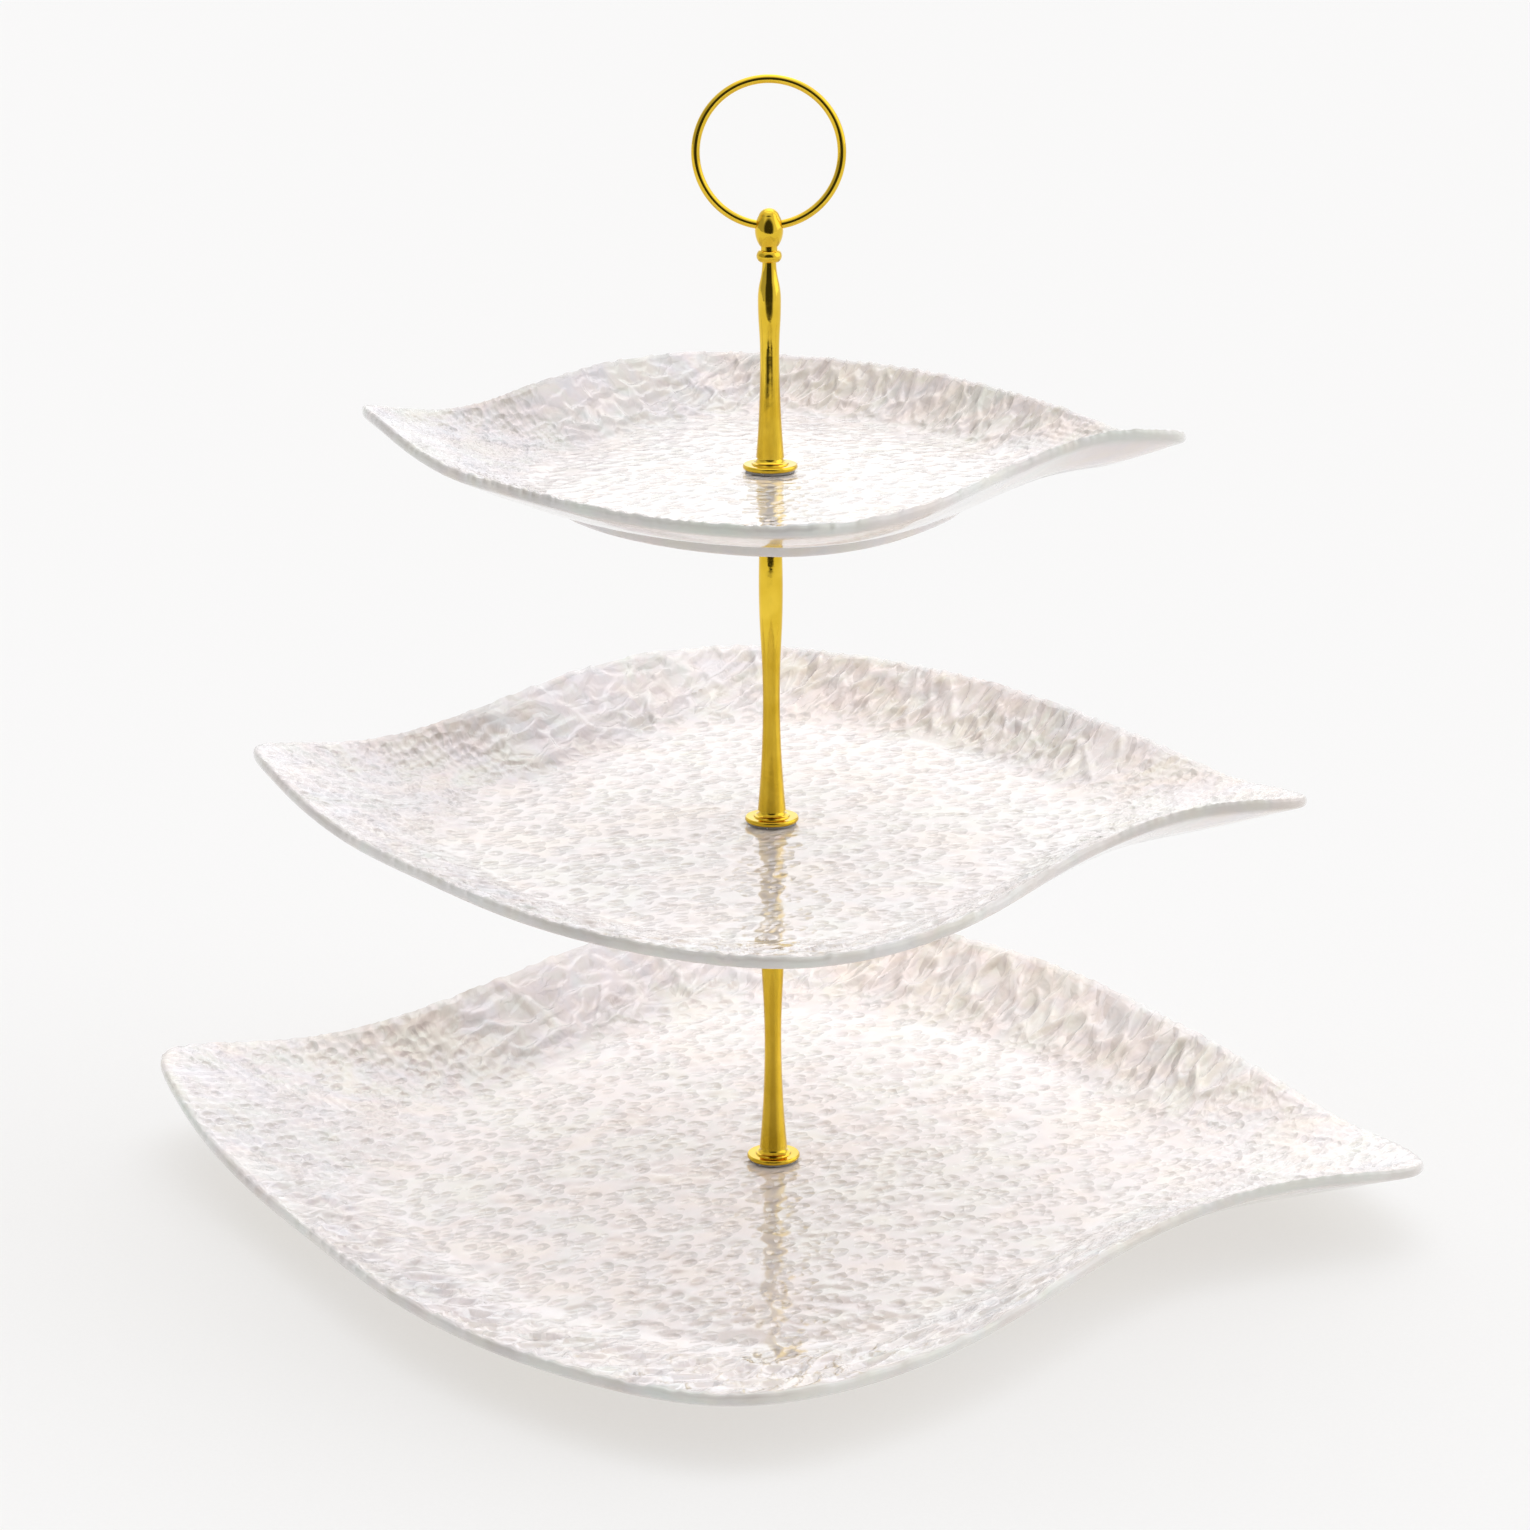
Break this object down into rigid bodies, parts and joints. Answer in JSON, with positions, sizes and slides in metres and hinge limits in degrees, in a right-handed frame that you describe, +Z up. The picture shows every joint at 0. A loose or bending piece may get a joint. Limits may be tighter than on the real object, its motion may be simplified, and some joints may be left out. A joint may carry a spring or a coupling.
{
  "type": "tiered cake stand",
  "caption": "Tiered serving stand: square wavy-rimmed pearl-glazed porcelain plates, largest at the bottom, on a turned gold pole with a ring handle.",
  "frame": {"origin": "on the pole's axis at table level, in the plane of the bottom plate's foot", "axes": "+Z up along the pole, +X and -X towards the plates' two raised corners, -Y towards the front rounded corner"},
  "size_m": [0.3683, 0.397, 0.3244],
  "materials": {
    "glaze": "gloss",
    "gold": "polished",
    "steel": "satin",
    "clear_plastic": "gloss"
  },
  "bodies": {
    "base": {"bottom_plate": "glaze"},
    "pole": {"lower_rod": "gold", "upper_rod": "gold", "handle_rod": "gold", "bottom_disc": "gold", "middle_disc": "gold", "top_disc": "gold", "collar": "gold", "knob": "gold", "lower_stud": "steel", "upper_stud": "steel", "base_screw": "steel", "base_washer": "steel", "bottom_upper_washer": "clear_plastic", "bottom_lower_washer": "clear_plastic", "middle_upper_washer": "clear_plastic", "middle_lower_washer": "clear_plastic", "top_upper_washer": "clear_plastic", "top_lower_washer": "clear_plastic"},
    "middle_tier": {"middle_plate": "glaze"},
    "top_tier": {"top_plate": "glaze"},
    "ring": {"ring_handle": "gold"}
  },
  "joints": [
    {"name": "pole_swivel", "type": "hinge", "parent": "base", "child": "pole", "pos_m": [0, 0, 0.0076], "axis": [0, 0, 1], "continuous": true},
    {"name": "middle_plate_swivel", "type": "hinge", "parent": "pole", "child": "middle_tier", "pos_m": [0, 0, 0.1106], "axis": [0, 0, 1], "continuous": true},
    {"name": "top_plate_swivel", "type": "hinge", "parent": "pole", "child": "top_tier", "pos_m": [0, 0, 0.2136], "axis": [0, 0, 1], "continuous": true},
    {"name": "ring_swing", "type": "hinge", "parent": "pole", "child": "ring", "pos_m": [0, 0, 0.283], "axis": [1, 0, 0], "range_deg": [-165, 165]}
  ]
}
